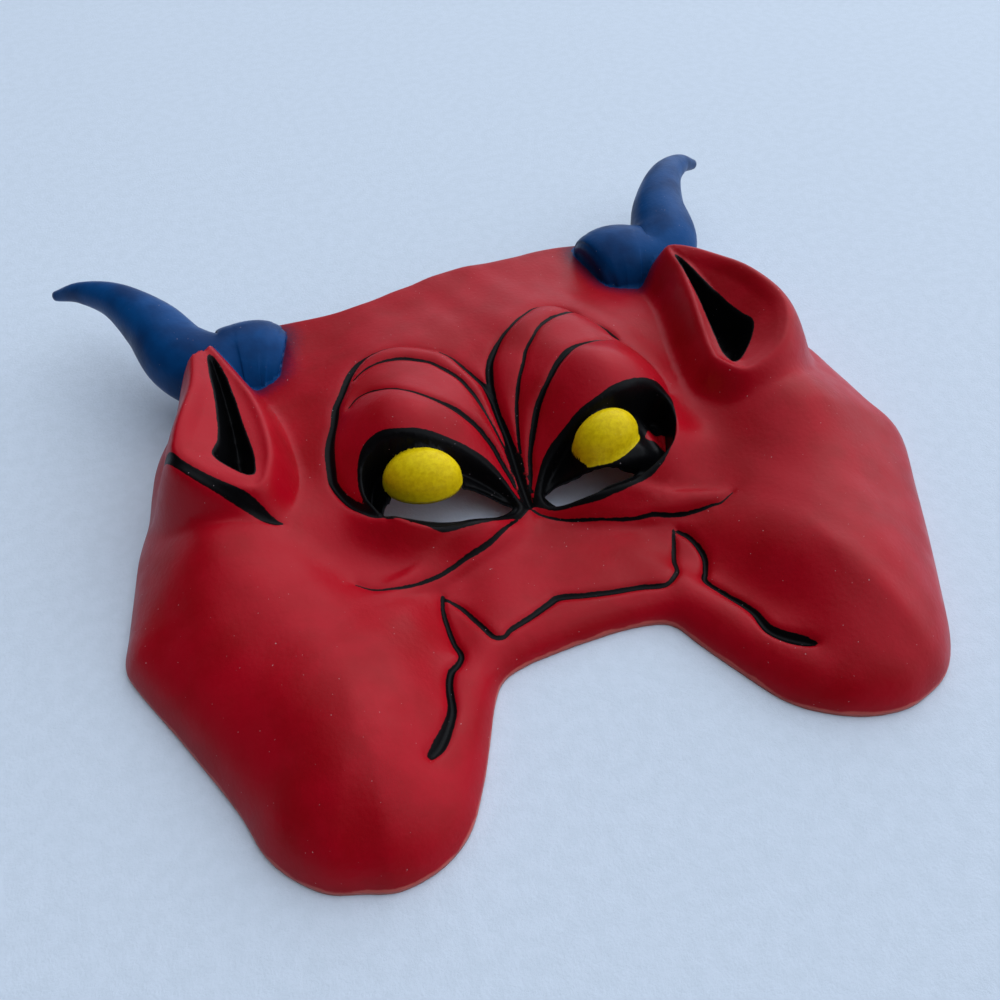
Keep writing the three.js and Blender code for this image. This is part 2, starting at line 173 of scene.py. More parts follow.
# Sunk lines: points with half the painted width, the groove's depth and the fold beside it.
# A half width of nothing is a stretch that the brush missed.
browSideLeft = [
    (-11, 42, 0), (-20, 46.5, 0), (-26.5, 48, 0.2), (-33.5, 47, 0.65), (-37.5, 45, 1.2), (-41.5, 41, 1.35),
    (-46, 34, 1.2), (-49, 29.5, 1.3), (-51, 24, 1.25), (-54.5, 16, 1.55), (-56.5, 6.5, 1.35),
    (-56.5, 2, 1.1), (-53, -7, 1.1), (-49, -13, 1.2), (-45.5, -15.5, 1.1),
]
browMiddleLeft = [
    (-11, 42, 0.1), (-8, 38.5, 0.3), (-5.5, 34, 0.55), (-3, 29.5, 0.7), (-1, 25.5, 0.85), (-0.5, 20, 0.9),
    (-0.5, 13.5, 1.05), (-0.2, 6.5, 1.2), (-0.2, -0.5, 1.2), (-0.3, -7.5, 1.2), (-0.5, -14.5, 1.1),
]
browMiddleRight = [
    (-0.5, -14, 1.1), (-0.5, -5.5, 1.25), (-0.3, 0, 1.3), (-0.2, 6.5, 1.25), (-0.2, 12, 1.05),
    (0, 17.5, 0.9), (0.6, 23, 1), (1.6, 28, 1.2), (3.4, 33, 1.1), (6.5, 37.5, 1), (10.5, 42, 0.7),
    (15, 45.5, 0.58), (21, 50, 0.5), (27, 53.5, 0.4), (31.5, 54, 0.4), (35, 53, 0.46), (38, 50, 0.58),
    (40, 47, 0.58), (41.5, 45, 0.1),
]
browSideRight = [
    (41.5, 45, 0), (44, 41, 0.1), (45.5, 38.5, 0.4), (47, 34.5, 0.86), (47.7, 31, 1.15), (48.8, 29, 0.2),
    (51.5, 26, 0), (54, 21.5, 0), (55.5, 16, 0), (56, 10, 0), (55.5, 5, 0),
]
paintedLines = {
    "browSideLeft": (browSideLeft, 1.2, 1.6),
    "browMiddleLeft": (browMiddleLeft, 1.2, 1.6),
    "browMiddleRight": (browMiddleRight, 1.2, 1.6),
    "browSideRight": (browSideRight, 1.2, 1.6),
    "upperFoldLeft": ([
        (-41, 37, 0.1), (-37.5, 39, 0.27), (-33, 40, 0.32), (-28.5, 40, 0.54), (-24, 39.5, 0.75),
        (-20, 38, 0.65), (-16, 36, 0.54), (-12.5, 32.5, 0.6), (-9, 28.5, 0.65), (-7, 24, 0.67),
        (-5.5, 19, 0.54), (-4.5, 14, 0.32), (-3.3, 8, 0.3), (-2.4, 3, 0.3), (-1.8, -3.5, 0.38),
        (-1.2, -10.5, 0.38)], 1.1, 1.2),
    "lowerFoldLeft": ([
        (-45.5, 25.5, 0.1), (-42.5, 27.5, 0.22), (-39, 27.5, 0.27), (-35, 25.5, 0.38), (-31.5, 23, 0.38),
        (-27.5, 19.5, 0.43), (-24, 17, 0.54), (-20, 15, 0.7), (-16, 13.5, 1.08), (-12.5, 11.5, 1.08),
        (-9.5, 9, 0.91), (-7.5, 6, 0.86), (-6, 3, 0.81), (-5, -0.5, 0.75), (-3.5, -5, 0.59),
        (-2.5, -10, 0.43), (-1.5, -14.5, 0.27)], 1.2, 1.4),
    "upperFoldRight": ([
        (1, -7.5, 0.23), (1.6, -2, 0.29), (2.4, 2.5, 0.35), (3.5, 7, 0.4), (5, 12, 0.46), (7, 17, 0.52),
        (9.5, 22, 0.52), (12.5, 26.5, 0.52), (15.5, 31.5, 0.49), (19.5, 35.5, 0.46), (23.5, 39.5, 0.52),
        (29, 43, 0.69), (33, 44.5, 0.63), (38, 46.5, 0.52), (40.5, 45, 0.12)], 1.1, 1.2),
    "lowerFoldRight": ([
        (1, -11, 0.35), (3, -6, 0.52), (4.5, -1.5, 0.63), (6.5, 2.5, 0.81), (9, 6.5, 0.98), (11, 9.5, 1.04),
        (14, 12.5, 0.92), (17, 15, 0.86), (20.5, 18, 1.15), (24.5, 20.5, 1.32), (28.5, 22.5, 1.15),
        (33, 24, 0.81), (37.5, 25.5, 0.29), (42, 27, 0.09)], 1.2, 1.4),
    "underEyeLeft": ([
        (-0.8, -15, 0.48), (-2.5, -16.5, 0.24), (-12.5, -24, 0.4), (-19.5, -28, 0.48), (-28.5, -30.5, 0.48),
        (-37.5, -33.5, 0.36), (-43.5, -35, 0.28), (-49, -35.5, 0.28), (-54.5, -34.5, 0.24),
        (-59.5, -31, 0.08)], 1, 1.2),
    "underEyeRight": ([
        (-1.2, -15, 0.36), (1, -18.5, 0.29), (5, -22.5, 0.29), (9.5, -25.5, 0.25), (15.5, -28, 0.21),
        (21.5, -30, 0.21), (27, -31.5, 0.29), (32.5, -32.5, 0.45), (37.5, -34.5, 0.42), (42, -36, 0.37),
        (46.5, -37, 0.33), (50, -37.5, 0.29), (52.5, -38, 0.21), (57, -36.5, 0.07)], 1, 1.2),
    "smileLeft": ([
        (-36.5, -38, 0.4), (-38, -43.5, 0.6), (-38.5, -54, 0.7), (-38, -59.5, 0.7), (-40, -62.5, 0.8),
        (-42.5, -64.5, 0.9), (-44.5, -69, 0.9), (-46, -76, 1.1), (-49, -81.5, 1.3), (-52.5, -86, 1.5),
        (-55.5, -88.5, 0.8)], 1.4, 1.4),
    "smileRight": ([
        (38, -39, 0.4), (40.5, -43.5, 0.6), (41, -50.5, 0.7), (39, -55.5, 0.7), (37, -59, 0.8),
        (39, -64.5, 0.9), (43, -74, 1.1), (43.5, -81.5, 1.3), (46, -86, 1.5), (49.5, -89.5, 1.4),
        (52, -91.5, 0.6)], 1.4, 1.4),
    "mouth": ([
        (-36.5, -38.5, 0.3), (-32.5, -43.5, 0.5), (-30, -51, 0.6), (-28, -57, 0.6), (-25, -58, 0.6),
        (-22.5, -56.5, 0.6), (-15.5, -54, 0.8), (-8.5, -51, 1), (-5, -50, 1.1), (2, -52, 0.9),
        (9, -53.5, 0.8), (18, -55, 0.8), (24, -57, 0.7), (27, -56.5, 0.6), (30.5, -53.5, 0.6),
        (32, -49, 0.6), (35, -43, 0.5), (37, -38.5, 0.3)], 1.1, 0.8),
    "earStripe": ([
        (-101.5, 16.4, 0.8), (-98.5, 10.9, 1.15), (-95, 6.3, 1.3), (-91.5, 2.7, 1.4), (-88, -0.3, 1.45),
        (-84.5, -2.9, 1.45), (-81, -5.3, 1.45), (-77.5, -7.5, 1.2), (-74.5, -8.5, 0.2)], 0.9, 0.6),
}
# Outer edge of the black round each eye, and its width past the edge of each ear slot.
eyeBlack = [
    [(-45.5, -17.5), (-50, -11.5), (-50.5, -8), (-50.5, -2.5), (-49.5, 1.5), (-48, 4.5), (-46, 6.5),
     (-43, 7), (-39.5, 6.5), (-35.5, 5), (-31, 4), (-26, 3), (-21, 2), (-16, 1), (-11.5, -0.5), (-8, -3),
     (-5.5, -7), (-3.5, -12), (-1.5, -15.5), (-6, -18.8), (-10.5, -20.7), (-15, -22.5), (-20.5, -23.9),
     (-25.5, -24.3), (-31, -24), (-35.5, -22), (-39, -20.5), (-43, -18.5)],
    [(1, -13.5), (3, -10), (6, -6), (9.5, -3), (13.5, -1.5), (17.5, -0.5), (22, 0.5), (27, 1), (31.5, 2),
     (36, 3), (41, 4.5), (46.5, 6), (51, 6.5), (53.5, 5), (54.5, 1.5), (52.5, -5), (48.5, -13),
     (46, -17), (43.5, -19.2), (41.5, -21), (37, -23.5), (32, -24.8), (27, -25.5), (22.5, -25.6),
     (18, -25.4),
     (13.5, -24.2), (9.5, -22.6), (5.5, -20.4), (2.5, -17.5), (0.5, -15.5)],
]

# Floor of the right-hand socket that the brush missed.
barePatch = [(44.4, -4), (47.4, -3), (50.6, -2.8), (49.8, -6), (47, -11.4), (43.2, -10.6),
              (40.6, -8.8), (42.4, -6.2)]

# Centre line of each horn: x, y, z and radius, from the forehead to the tip.
hornLines = [
    [(-61, 67, 15.5, 11.5), (-61.9, 67.3, 15.8, 13.4), (-63.8, 68, 16.2, 14.9), (-67.5, 69, 16.7, 15.5),
     (-74.5, 69, 17, 15.1), (-83, 69, 18.6, 13.3), (-91.5, 76.5, 21.3, 12.2), (-97.8, 91, 25, 9.9),
     (-107.5, 106.3, 27.7, 6.4), (-119, 118.5, 26, 3.8), (-128.5, 126.5, 21.5, 1.8)],
    [(59.3, 78, 16, 11), (60.8, 78.2, 16.3, 13.5), (63.8, 78.6, 16.8, 15.3), (69.3, 78.8, 17.2, 16.1),
     (76.5, 77.3, 17.2, 15.6), (84, 76, 18, 13.8), (91.5, 83, 21.3, 13), (97, 99, 25, 10.2),
     (107, 115, 27.5, 6.9), (119.5, 126.5, 25.5, 4.2), (130.5, 133.5, 20, 2.1)],
]
horn = {
    "sides": 48,
    "steps": 120,
    "hollowStart": 0.16,
    "hollowEnd": 0.88,
    "thinnestHollow": 0.8,
    "faceHollowDepth": 20.0,
}


def ease(start, end, value):
    share = np.clip((value - start) / (end - start), 0, 1)
    return share * share * (3 - 2 * share)


# A place on the smooth curve through four knots, between the middle two.
def onCurve(a, b, c, d, t):
    return b + 0.5 * t * (c - a + t * (2 * a - 5 * b + 4 * c - d + t * (3 * b - a - 3 * c + d)))


# Points along a smooth curve through the given ones, evenly spaced; columns past x and y go along.
def smoothLine(points, spacing, closed=False):
    knots = np.array(points, float)
    if closed:
        padded = np.vstack([knots[-1:], knots, knots[:2]])
    else:
        padded = np.vstack([2 * knots[0] - knots[1], knots, 2 * knots[-1] - knots[-2]])
    t = np.linspace(0, 1, 12, endpoint=False)[:, None]
    spans = []
    for a, b, c, d in zip(padded, padded[1:], padded[2:], padded[3:]):
        spans.append(onCurve(a, b, c, d, t))
    fine = np.vstack(spans + [knots[:1] if closed else knots[-1:]])
    along = np.concatenate([[0], np.cumsum(np.hypot(*np.diff(fine[:, :2], axis=0).T))])
    marks = np.linspace(0, along[-1], max(2, round(along[-1] / spacing)) + 1)
    line = np.column_stack([np.interp(marks, along, column) for column in fine.T])
    return line[:-1] if closed else line


# Distance from each point to a line, with the line's last column at the nearest place.
def nearest(x, y, line, closed=False, reach=400.0):
    low = line[:, :2].min(axis=0) - reach
    high = line[:, :2].max(axis=0) + reach
    near = np.flatnonzero((x > low[0]) & (x < high[0]) & (y > low[1]) & (y < high[1]))
    px = x[near]
    py = y[near]
    best = np.full(len(near), float(reach))
    value = np.full(len(near), line[0, -1])
    ends = np.roll(line, -1, axis=0) if closed else line[1:]
    for a, b in zip(line, ends):
        dx = b[0] - a[0]
        dy = b[1] - a[1]
        share = np.clip(((px - a[0]) * dx + (py - a[1]) * dy) / (dx * dx + dy * dy), 0, 1)
        gap = np.hypot(px - a[0] - share * dx, py - a[1] - share * dy)
        closer = gap < best
        best[closer] = gap[closer]
        value[closer] = a[-1] + share[closer] * (b[-1] - a[-1])
    distance = np.full(len(x), float(reach))
    carried = np.full(len(x), line[0, -1])
    distance[near] = best
    carried[near] = value
    return distance, carried


def inside(x, y, loop):
    low = loop[:, :2].min(axis=0)
    high = loop[:, :2].max(axis=0)
    near = np.flatnonzero((x >= low[0]) & (x <= high[0]) & (y >= low[1]) & (y <= high[1]))
    px = x[near]
    py = y[near]
    odd = np.zeros(len(near), bool)
    for a, b in zip(loop, np.roll(loop, -1, axis=0)):
        if a[1] == b[1]:
            continue
        crosses = (a[1] > py) != (b[1] > py)
        odd ^= crosses & (px < (b[0] - a[0]) * (py - a[1]) / (b[1] - a[1]) + a[0])
    result = np.zeros(len(x), bool)
    result[near] = odd
    return result


# Distance to a closed loop, positive inside it.
def depthInside(x, y, loop, reach=400.0):
    distance, _ = nearest(x, y, loop, True, reach)
    return np.where(inside(x, y, loop), distance, -distance)


def bell(x, y, midX, midY, along, across, turn, edge):
    angle = math.radians(turn)
    u = ((x - midX) * math.cos(angle) + (y - midY) * math.sin(angle)) / along
    v = ((y - midY) * math.cos(angle) - (x - midX) * math.sin(angle)) / across
    return np.exp(-0.5 * (u * u + v * v) ** edge)


# The larger of two heights, with a rounded meeting.
def blendHigher(a, b, width):
    share = np.clip(0.5 + (a - b) / (2 * width), 0, 1)
    return b + (a - b) * share + width * share * (1 - share)


# How far out a place lies from an eyeball's middle, as a share of its radius.
def eyeReach(x, y, ball):
    midX, midY, across, along, turn, _, _ = ball
    angle = math.radians(turn)
    u = (x - midX) * math.cos(angle) + (y - midY) * math.sin(angle)
    v = (y - midY) * math.cos(angle) - (x - midX) * math.sin(angle)
    return np.hypot(u / across, v / along)


# A ring of plan points round an eyeball at a share of its radius.
def eyeRing(ball, share, count):
    midX, midY, across, along, turn, _, _ = ball
    angles = 2 * math.pi * np.arange(count) / count
    u = share * across * np.cos(angles)
    v = share * along * np.sin(angles)
    angle = math.radians(turn)
    return np.column_stack([midX + u * math.cos(angle) - v * math.sin(angle),
                            midY + u * math.sin(angle) + v * math.cos(angle)])


# An eye slot whose edge follows the eyeball where it would run under it.
def slotBeside(points, ball):
    loop = smoothLine(points, 0.9, True)
    reach = eyeReach(loop[:, 0], loop[:, 1], ball)
    middle = np.array(ball[:2])
    pushed = middle + (loop - middle) / np.minimum(reach, 1)[:, None]
    return smoothLine(pushed, 0.7, True)


fullRim = leftRim[::-1] + rightRim
lowRim = smoothLine(fullRim, 0.8)
outline = smoothLine(rightRim + foreheadEdge + leftRim[::-1], 1.0, True)
# Above the raised forehead edge the face keeps its height, so that edge isn't a turned-down rim.
faceReach = np.vstack([lowRim, (150, 300), (-150, 300)])
earLoops = [smoothLine(ear["crest"], 0.7, True) for ear in ears]
# Level of each ear's cup, from the heights round its crest.
earPlanes = []
for loop in earLoops:
    flat = np.column_stack([loop[:, :2], np.ones(len(loop))])
    earPlanes.append(np.linalg.lstsq(flat, loop[:, 2], rcond=None)[0])
earSlotLoops = [smoothLine(points, 1.2, True) for points in earSlots]
socketLoops = [smoothLine(points, 1.0, True) for points in sockets]
eyeSlotLoops = [slotBeside(points, ball) for points, ball in zip(eyeSlots, eyeballs)]
barePatchLoop = smoothLine(barePatch, 1.2, True)
eyeBlackLoops = [smoothLine(points, 1.2, True) for points in eyeBlack]
browLoops = [
    np.vstack([smoothLine(browMiddleLeft, 0.8)[::-1], smoothLine(browSideLeft, 0.8)])[:, :2],
    np.vstack([smoothLine(browMiddleRight, 0.8), smoothLine(browSideRight, 0.8)])[:, :2],
]
lineCurves = [(smoothLine(points, 0.8), depth, fold) for points, depth, fold in paintedLines.values()]

waveSeed = np.random.default_rng(11)
waveAngles = waveSeed.uniform(0, math.pi, 14)
waveLengths = waveSeed.uniform(9, 42, 14)
wavePhases = waveSeed.uniform(0, 2 * math.pi, 14)


# Soft unevenness of a hand-made pattern.
def unevenness(x, y):
    total = np.zeros(len(x))
    for angle, length, phase in zip(waveAngles, waveLengths, wavePhases):
        total += np.sin((x * math.cos(angle) + y * math.sin(angle)) * 2 * math.pi / length + phase)
    return mould["unevenness"] * total / math.sqrt(len(waveAngles) / 2)


# Height of the face with its ears, before anything is sunk into it.
def faceForm(x, y):
    side = np.hypot(x, 1)
    body = mould["restingLevel"] + mould["foreheadRise"] * ease(*mould["foreheadSpan"], y) * np.exp(
        -0.5 * (side / mould["foreheadSpread"]) ** 2)
    for midX, midY, along, across, turn, rise, edge in swellings:
        body += rise * bell(side, y, midX, midY, along, across, turn, edge)
    for swelling in sideSwellings:
        body += swelling[5] * bell(x, y, *swelling[:5], swelling[6])
    fromRim, _ = nearest(x, y, lowRim)
    fromRim = np.where(inside(x, y, faceReach), fromRim, 0)
    raised = body - mould["wall"]
    face = mould["wall"] + raised * (1 - np.exp(-mould["rimSlope"] * fromRim / raised))
    raisedEar = np.zeros(len(x))
    for ear, loop, plane in zip(ears, earLoops, earPlanes):
        there = np.flatnonzero(x * loop[0, 0] > 0)
        gap, crest = nearest(x[there], y[there], loop, True)
        rounding = ear["inner"] + (ear["outer"] - ear["inner"]) * ease(*mould["earOuterSpan"], side[there])
        rounding *= ear["slope"]
        outer = crest - ear["slope"] * (np.hypot(gap, rounding) - rounding)
        level = np.column_stack([x[there], y[there], np.ones(len(there))]) @ plane
        cup = crest + (level - crest) * ease(0, mould["earCupReach"], gap) - ear["cup"] * gap
        raisedEar[there] = np.where(inside(x[there], y[there], loop), cup, outer)
    flank = mould["earFlankSlope"] * fromRim - mould["earBlend"]
    return blendHigher(face, np.minimum(raisedEar, flank), mould["earBlend"]), fromRim


# Top height of the skin.
def topHeight(x, y):
    height, fromRim = faceForm(x, y)
    height += unevenness(x, y) * ease(*mould["evenRim"], fromRim)
    cuts = np.zeros(len(x))
    for line, depth, fold in lineCurves:
        distance, halfWidth = nearest(x, y, line, False, mould["foldEnd"])
        groove = mould["grooveWidth"] + mould["grooveSpread"] * halfWidth
        full = ease(*mould["fullDepthSpan"], halfWidth)
        deep = depth * (mould["shallowest"] + (1 - mould["shallowest"]) * full)
        beside = fold * np.exp(-distance / mould["foldReach"]) * (distance < mould["foldEnd"])
        cuts = np.maximum(cuts, deep * np.exp(-(distance / groove) ** 2) + beside)
    height -= cuts
    for loop in browLoops:
        step = ease(*mould["foldStepSpan"], depthInside(x, y, loop))
        height += mould["foldStep"] * step * ease(*mould["foldFade"], y)
    for loop in earSlotLoops:
        depth = mould["earSlotSlope"] * depthInside(x, y, loop)
        height -= np.clip(depth, 0, mould["earSlotDepth"])
    side = np.abs(x)
    inner, outer = mould["socketFloor"]
    floor = inner + (outer - inner) * ease(*mould["socketFloorSpan"], side)
    floor -= mould["socketEndDrop"] * ease(*mould["socketEndSpan"], side)
    floor -= mould["lidDrop"] * ease(*mould["lidDropSpan"], y) * (x > 0)
    ledge = ease(*mould["eyeLedgeSpan"], y) * ease(*mould["eyeLedgeStart"], x)
    floor += mould["eyeLedge"] * ledge * ease(*mould["eyeLedgeEnd"], x)
    for ball in eyeballs:
        reach = eyeReach(x, y, ball)
        dome = ball[5] + ball[6] * np.sqrt(np.maximum(1 - reach**2, 0))
        floor = np.where(reach <= 1.001, np.maximum(floor, dome), floor)
    for loop in socketLoops:
        sunk = ease(-mould["socketEdge"], mould["socketEdge"], depthInside(x, y, loop, 60))
        height += (floor - height) * sunk
    return height


# Inside height over an even grid: the top lowered by a ball of the wall's thickness rolled under it.
def underGrid(step=1.0, reachX=138, lowY=-120, highY=112):
    xs = np.arange(-reachX, reachX + step, step)
    ys = np.arange(lowY, highY + step, step)
    gridX, gridY = np.meshgrid(xs, ys, indexing="ij")
    flatX = gridX.ravel()
    flatY = gridY.ravel()
    top = topHeight(flatX, flatY)
    for loop in eyeSlotLoops:
        top[inside(flatX, flatY, loop)] = np.inf
    top = top.reshape(gridX.shape)
    wall = mould["wall"]
    cells = int(wall / step)
    under = np.full(top.shape, np.inf)
    padded = np.pad(top, cells, mode="edge")
    for i in range(-cells, cells + 1):
        for j in range(-cells, cells + 1):
            reach = step * math.hypot(i, j)
            if reach <= wall:
                moved = padded[cells + i:cells + i + top.shape[0], cells + j:cells + j + top.shape[1]]
                under = np.minimum(under, moved - math.sqrt(wall * wall - reach * reach))
    return xs, ys, np.where(np.isfinite(under), np.maximum(under, 0), 0)


def sampleGrid(x, y, grid):
    xs, ys, values = grid
    column = np.clip((x - xs[0]) / (xs[1] - xs[0]), 0, len(xs) - 1.001)
    row = np.clip((y - ys[0]) / (ys[1] - ys[0]), 0, len(ys) - 1.001)
    i = column.astype(int)
    j = row.astype(int)
    u = column - i
    v = row - j
    return ((values[i, j] * (1 - u) + values[i + 1, j] * u) * (1 - v)
            + (values[i, j + 1] * (1 - u) + values[i + 1, j + 1] * u) * v)


# Points beside a line at the given offsets, left out where they come near another stretch of it.
def rowsAlong(line, offsets, closed=False):
    if closed:
        direction = np.roll(line, -1, axis=0)[:, :2] - np.roll(line, 1, axis=0)[:, :2]
    else:
        direction = np.gradient(line[:, :2], axis=0)
    direction /= np.linalg.norm(direction, axis=1)[:, None]
    rows = []
    for offset in offsets:
        row = line[:, :2] + offset * np.column_stack([-direction[:, 1], direction[:, 0]])
        distance, _ = nearest(row[:, 0], row[:, 1], line, closed)
        rows.append(row[distance >= 0.85 * abs(offset)])
    return np.vstack(rows)


def lattice(spacing, low=(-134, -116), high=(134, 98)):
    rowHeight = spacing * math.sin(math.pi / 3)
    rows = []
    for row in range(int((high[1] - low[1]) / rowHeight) + 1):
        xs = np.arange(low[0] + (row % 2) * spacing / 2, high[0], spacing)
        rows.append(np.column_stack([xs, np.full(len(xs), low[1] + row * rowHeight)]))
    return np.vstack(rows)


# Keeps points in order, leaving out each one that has a kept neighbour nearer than its group's gap.
def thinned(groups, cell=1.5):
    cells = {}
    kept = []
    for points, gap in groups:
        for x, y in points.tolist():
            column = int(x // cell)
            row = int(y // cell)
            crowded = False
            for i in (column - 1, column, column + 1):
                for j in (row - 1, row, row + 1):
                    for nearX, nearY in cells.get((i, j), ()):
                        if (x - nearX) ** 2 + (y - nearY) ** 2 < gap * gap:
                            crowded = True
            if not crowded:
                cells.setdefault((column, row), []).append((x, y))
                kept.append((x, y))
    return np.array(kept)


# Triangles over plan points; the first points are the closed loops of the skin's edges.
def triangulated(points, loops):
    edges = []
    first = 0
    for loop in loops:
        count = len(loop)
        edges += [(first + k, first + (k + 1) % count) for k in range(count)]
        first += count
    verts, _, faces, _, _, _ = delaunay_2d_cdt([Vector(point) for point in points], edges, [], 0, 1e-7)
    points = np.array([tuple(vert) for vert in verts])
    faces = np.array(faces)
    middle = points[faces].mean(axis=1)
    kept = inside(middle[:, 0], middle[:, 1], outline)
    for loop in eyeSlotLoops:
        kept &= ~inside(middle[:, 0], middle[:, 1], loop)
    return points, faces[kept]


def meshObject(name, points, faces):
    mesh = bpy.data.meshes.new(name)
    mesh.from_pydata(points.tolist(), [], [tuple(face) for face in faces])
    mesh.validate()
    made = bpy.data.objects.new(name, mesh)
    bpy.context.scene.collection.objects.link(made)
    return made


# Directed edges that only one triangle has.
def borderEdges(faces):
    edges = np.vstack([faces[:, [0, 1]], faces[:, [1, 2]], faces[:, [2, 0]]])
    size = faces.max() + 1
    forward = edges[:, 0] * size + edges[:, 1]
    backward = edges[:, 1] * size + edges[:, 0]
    return edges[~np.isin(forward, backward)]


# A closed body between an upper and a lower skin that share the points of their edges.
def closedBetween(name, upper, upperFaces, lower, lowerFaces):
    offset = len(upper)
    border = borderEdges(upperFaces)
    start = border[:, 0]
    end = border[:, 1]
    walls = np.vstack([np.column_stack([start, offset + start, end]),
                       np.column_stack([end, offset + start, offset + end])])
    faces = np.vstack([upperFaces, lowerFaces[:, ::-1] + offset, walls])
    return meshObject(name, np.vstack([upper, lower]), faces)


# A tapering tube along a horn's centre line, closed at both ends, or the hollow within it.
def hornTube(name, line, thinner, first, last):
    knots = np.array(line, float)
    padded = np.vstack([2 * knots[0] - knots[1], knots, 2 * knots[-1] - knots[-2]])
    steps = horn["steps"]
    centres = []
    for step in range(steps + 1):
        place = (first + (last - first) * step / steps) * (len(knots) - 1)
        k = min(int(place), len(knots) - 2)
        centres.append(onCurve(*padded[k:k + 4], place - k))
    centres = np.array(centres)
    tangents = np.gradient(centres[:, :3], axis=0)
    tangents /= np.linalg.norm(tangents, axis=1)[:, None]
    radii = np.maximum(horn["thinnestHollow"], centres[:, 3] - thinner)
    path = centres[:, :3]
    across = np.cross((0, 0, 1), tangents)
    across /= np.linalg.norm(across, axis=1)[:, None]
    up = np.cross(tangents, across)
    sides = horn["sides"]
    angles = 2 * math.pi * np.arange(sides) / sides
    spokes = np.cos(angles)[None, :, None] * across[:, None]
    spokes = spokes + np.sin(angles)[None, :, None] * up[:, None]
    points = (path[:, None] + radii[:, None, None] * spokes).reshape(-1, 3)
    faces = []
    for step in range(steps):
        for k in range(sides):
            a = step * sides + k
            b = step * sides + (k + 1) % sides
            faces += [(a, b, b + sides), (a, b + sides, a + sides)]
    tip = steps * sides
    for k in range(1, sides - 1):
        faces += [(0, k + 1, k), (tip, tip + k, tip + k + 1)]
    return meshObject(name, points, np.array(faces)), path, radii


def combine(target, tool, operation):
    modifier = target.modifiers.new(operation, "BOOLEAN")
    modifier.operation = operation
    modifier.solver = "MANIFOLD"
    modifier.object = tool
    evaluated = target.evaluated_get(bpy.context.evaluated_depsgraph_get())
    result = bpy.data.meshes.new_from_object(evaluated)
    target.modifiers.clear()
    target.data = result


loops = [outline] + eyeSlotLoops
edgeCount = sum(len(loop) for loop in loops)


# Smallest distance from plan points to anything that needs fine triangles.
def featureGap(points):
    x = points[:, 0]
    y = points[:, 1]
    gap = np.full(len(x), 20.0)
    for line, _, _ in lineCurves:
        gap = np.minimum(gap, nearest(x, y, line, False, 20)[0])
    for loop in socketLoops:
        gap = np.minimum(gap, np.maximum(-depthInside(x, y, loop, 20), 0) - 2)
    for loop in earLoops:
        gap = np.minimum(gap, nearest(x, y, loop, True, 20)[0] - 4)
    for line in hornLines:
        rootLine = np.array(line[:6])[:, [0, 1, 3]]
        distance, radius = nearest(x, y, rootLine, False, 40)
        gap = np.minimum(gap, np.abs(distance - radius) - 1)
    return gap


def clearOfEdges(points, gap):
    x = points[:, 0]
    y = points[:, 1]
    clear = inside(x, y, outline) & (nearest(x, y, outline, True, 3)[0] > gap)
    for loop in eyeSlotLoops:
        clear &= ~inside(x, y, loop) & (nearest(x, y, loop, True, 3)[0] > gap)
    return points[clear]


# Rows of mesh points beside what they follow, and the rings of an eyeball as shares of its radius.
planRows = {
    "ringShares": (1, 1.035, 0.985, 0.95, 0.9, 0.82, 0.72, 0.6, 0.45, 0.25),
    "ringPoints": 72,
    "outline": (0.45, 1.1),
    "eyeSlot": (-0.5, 0.5),
    "socket": (0, -0.5, 0.5, -1, 1, -1.6, 1.6),
    "line": (0, -0.6, 0.6, -1.25, 1.25, -1.9, 1.9),
    "earSlot": (0, -0.4, 0.4, -0.9, 0.9, -1.5, 1.5, -2.2, 2.2, -3, 3),
}


def buildPlan():
    eyeRings = []
    for ball in eyeballs:
        for share in planRows["ringShares"]:
            eyeRings.append(eyeRing(ball, share, max(8, round(planRows["ringPoints"] * share))))
    edges = np.vstack(loops)
    groups = [(edges, 0)]
    groups.append((clearOfEdges(rowsAlong(outline, planRows["outline"], True), 0.3), 0.4))
    for loop in eyeSlotLoops:
        groups.append((clearOfEdges(rowsAlong(loop, planRows["eyeSlot"], True), 0.3), 0.4))
    groups.append((clearOfEdges(np.vstack(eyeRings), 0.3), 0.33))
    for loop in socketLoops:
        groups.append((clearOfEdges(rowsAlong(loop, planRows["socket"], True), 0.3), 0.4))
    for line, _, _ in lineCurves:
        groups.append((clearOfEdges(rowsAlong(line, planRows["line"]), 0.3), 0.5))
    for loop in earSlotLoops:
        rows = rowsAlong(loop, planRows["earSlot"], True)
        groups.append((clearOfEdges(rows, 0.3), 0.38))
    fine = clearOfEdges(lattice(mould["fineSpacing"]), 0.5)
    groups.append((fine[featureGap(fine) < 3.5], 0.52))
    plain = clearOfEdges(lattice(mould["plainSpacing"]), 0.8)
    groups.append((plain, 1.05))
    top = thinned(groups)
    close = clearOfEdges(lattice(1.1), 1.0)
    byEars = [depthInside(close[:, 0], close[:, 1], loop) for loop in earSlotLoops]
    close = close[np.maximum(*byEars) > -4]
    lower = thinned([(edges, 0), (close, 0.9), (clearOfEdges(lattice(mould["insideSpacing"]), 1.4), 1.4)])
    return top, lower


topPoints, lowerPoints = buildPlan()
print("plan points:", len(topPoints), "above and", len(lowerPoints), "inside")

